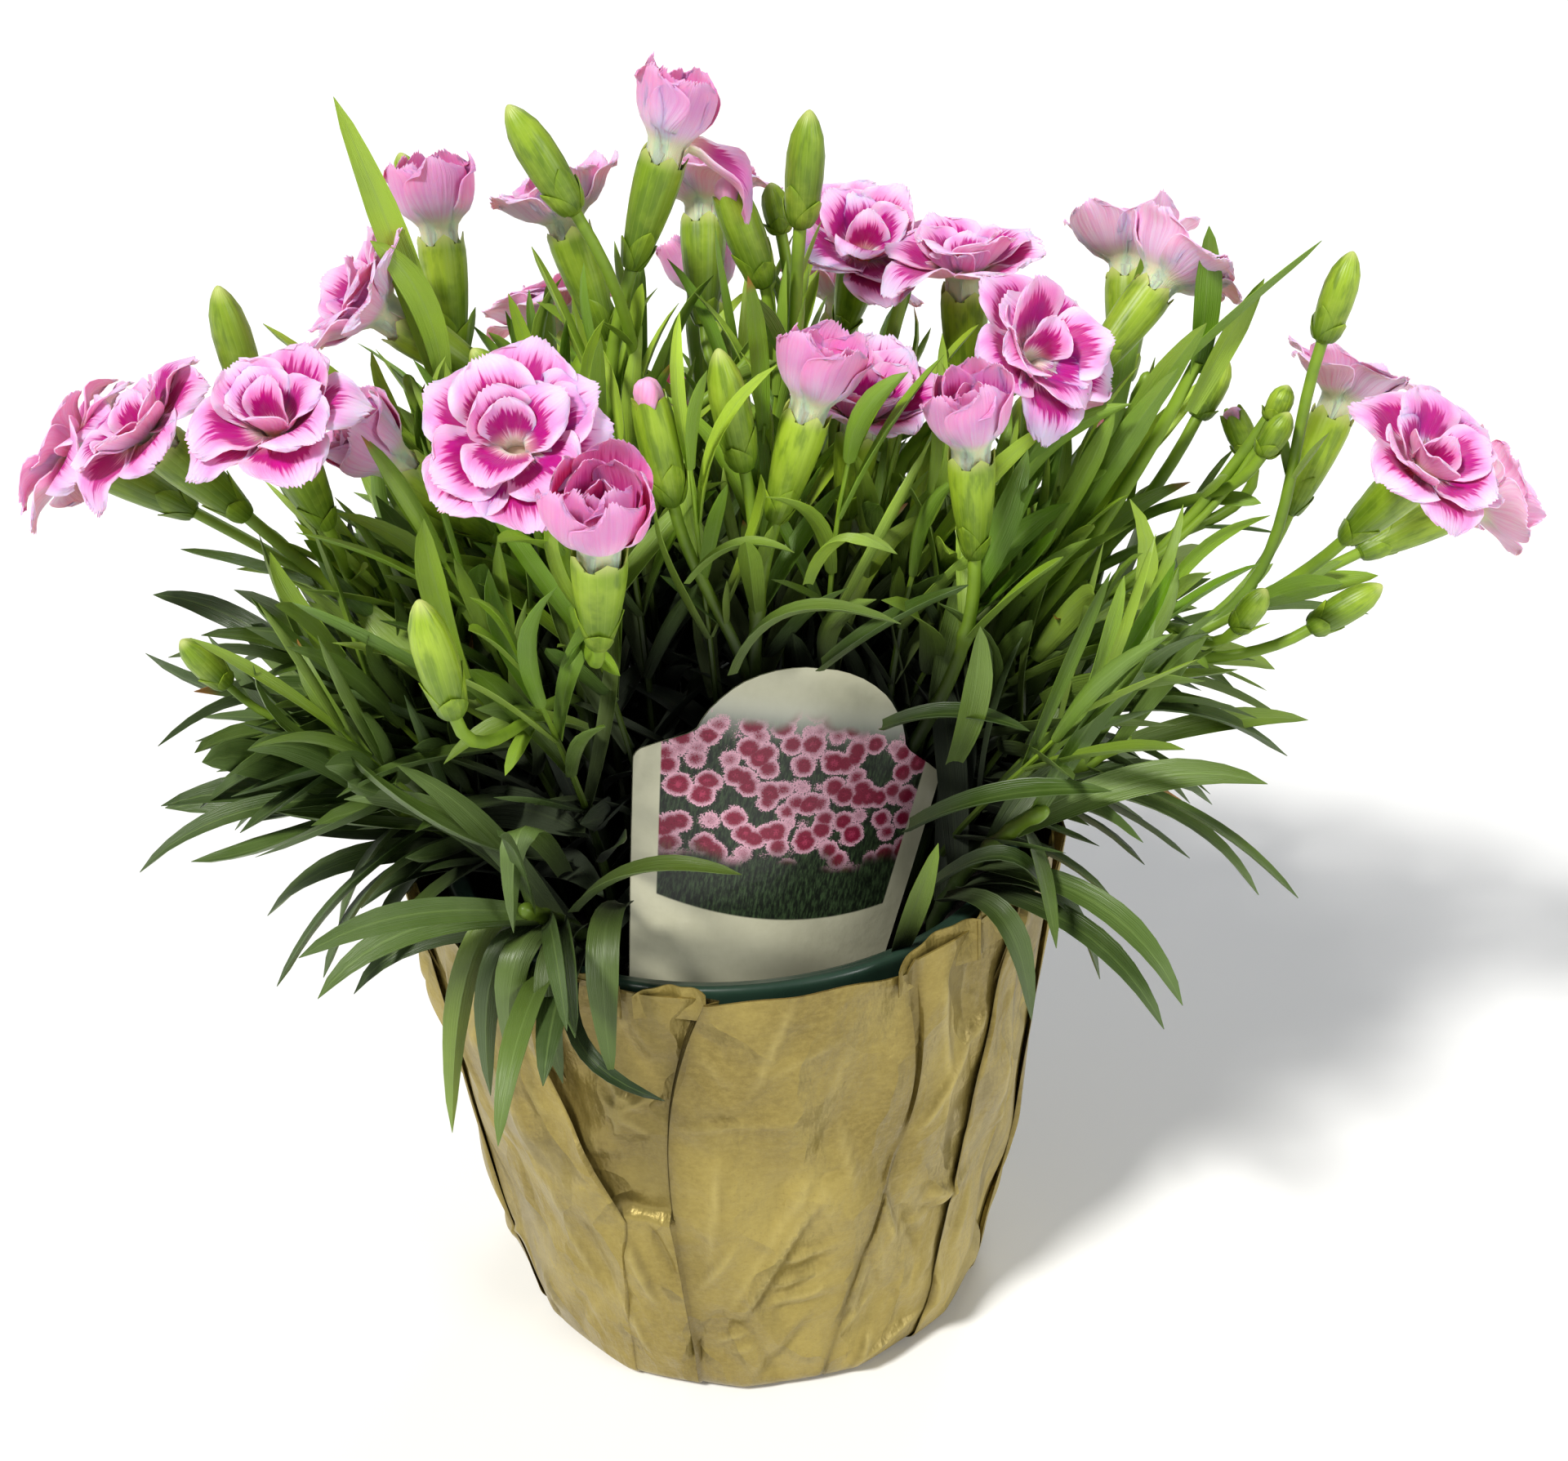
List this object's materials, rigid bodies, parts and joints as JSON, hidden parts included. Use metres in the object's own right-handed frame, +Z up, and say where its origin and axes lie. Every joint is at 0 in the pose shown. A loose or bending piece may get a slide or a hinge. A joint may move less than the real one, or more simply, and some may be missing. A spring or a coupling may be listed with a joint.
{
  "type": "potted dianthus plant",
  "caption": "Pot-grown dianthus in pink flower, in a nursery pot with a pleated kraft paper wrap and a plain plant label.",
  "frame": {"origin": "centre of the paper wrap's round base, on the surface that the pot stands on", "axes": "+Z up the pot's axis, -Y towards the front, where the label stands, +X to the right of the front"},
  "size_m": [0.2711, 0.1909, 0.2464],
  "materials": {
    "paper": "matte",
    "pot_plastic": "satin",
    "label_plastic": "satin",
    "soil": "matte",
    "green": "satin",
    "petal": "matte"
  },
  "bodies": {
    "root": {"paper_wrap": "paper", "nursery_pot": "pot_plastic", "plant_label": "label_plastic", "potting_soil": "soil", "flower_stem_a": "green", "flower_stem_b": "green", "flower_stem_c": "green", "flower_stem_d": "green", "flower_stem_e": "green", "flower_stem_f": "green", "flower_stem_g": "green", "flower_stem_h": "green", "flower_stem_j": "green", "flower_stem_l": "green", "flower_stem_m": "green", "flower_stem_n": "green", "flower_stem_o": "green", "flower_stem_p": "green", "flower_stem_t": "green", "flower_stem_u": "green", "flower_stem_w": "green", "flower_stem_x": "green", "bloom_a1": "petal", "bloom_a2": "petal", "bloom_a3": "petal", "bloom_b1": "petal", "bloom_c1": "petal", "bloom_c2": "petal", "bloom_d1": "petal", "bloom_d2": "petal", "bloom_e1": "petal", "bloom_f1": "petal", "bloom_g3": "petal", "bloom_h1": "petal", "bloom_h2": "petal", "bloom_j1": "petal", "bloom_l1": "petal", "bloom_m1": "petal", "bloom_m2": "petal", "bloom_n1": "petal", "bloom_n2": "petal", "bloom_p1": "petal", "bloom_p2": "petal", "bloom_p3": "petal", "bloom_t1": "petal", "bloom_u1": "petal", "bloom_u2": "petal", "bloom_w1": "petal", "bloom_x1": "petal", "leafy_shoot_right": "green", "leafy_shoot_back_right": "green", "leafy_shoot_back_left": "green", "leafy_shoot_left_rear": "green", "leafy_shoot_left": "green", "leafy_shoot_left_low": "green", "leafy_shoot_front_left": "green", "leafy_shoot_front_right": "green", "leafy_shoot_right_low": "green", "leafy_shoot_tall_left": "green", "leafy_shoot_tall_right": "green"}
  },
  "joints": []
}
